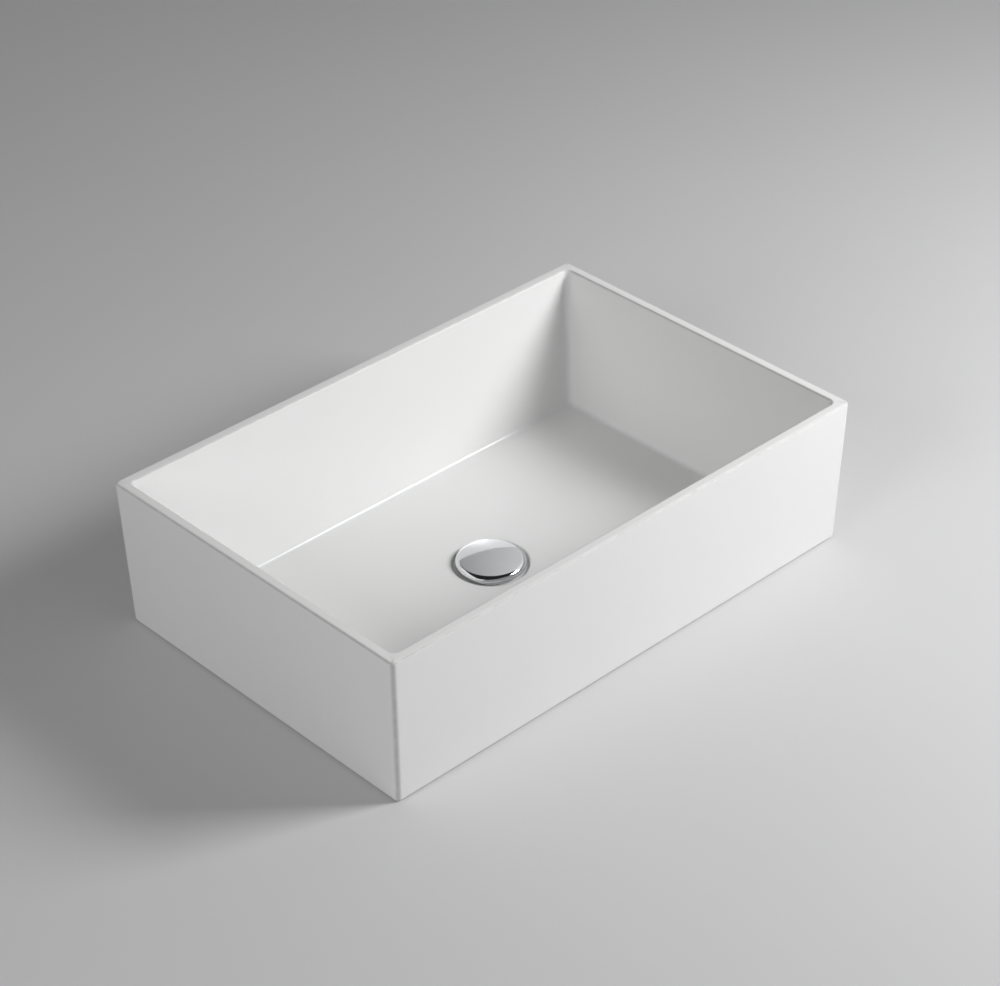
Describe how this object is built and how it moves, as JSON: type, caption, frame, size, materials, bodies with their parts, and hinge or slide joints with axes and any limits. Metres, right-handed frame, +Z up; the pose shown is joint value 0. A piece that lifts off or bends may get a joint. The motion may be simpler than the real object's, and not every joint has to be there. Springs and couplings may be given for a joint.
{
  "type": "countertop basin",
  "caption": "Rectangular ceramic basin that stands on a counter, with a thin rim, a tapered bowl and a domed click waste in its floor.",
  "frame": {"origin": "on the drain axis, in the plane of the foot that stands on the counter", "axes": "+X along the long side, +Y towards the back, +Z up towards the rim"},
  "size_m": [0.5598, 0.3658, 0.2132],
  "materials": {
    "white_glaze": "gloss glaze",
    "chrome": "polished",
    "brass": "turned",
    "black_rubber": "matt",
    "white_plastic": "moulded",
    "spring_steel": "drawn wire"
  },
  "bodies": {
    "basin_and_waste": {"basin": "white_glaze", "waste_body": "chrome", "flange_gasket": "black_rubber", "lower_seal": "black_rubber", "slip_washer": "white_plastic", "back_nut": "brass", "click_housing": "brass", "housing_gland": "brass", "click_spring": "spring_steel", "housing_lock_nut": "brass"},
    "plug": {"plug_cap": "chrome", "plug_seal": "black_rubber", "plug_stem": "brass", "stem_clip": "spring_steel"},
    "rotor": {"click_rotor": "white_plastic"}
  },
  "joints": [
    {"name": "plug_lift", "type": "slide", "parent": "basin_and_waste", "child": "plug", "axis": [0, 0, 1], "range_m": [0, 0.009], "deforming": ["click_spring"]},
    {"name": "rotor_turn", "type": "hinge", "parent": "plug", "child": "rotor", "pos_m": [0, 0, -0.0091], "axis": [0, 0, 1], "range_deg": [0, 45.5]}
  ],
  "couplings": [
    {"joint": "rotor_turn", "follows": "plug_lift", "rad_per_m": 87.266}
  ]
}
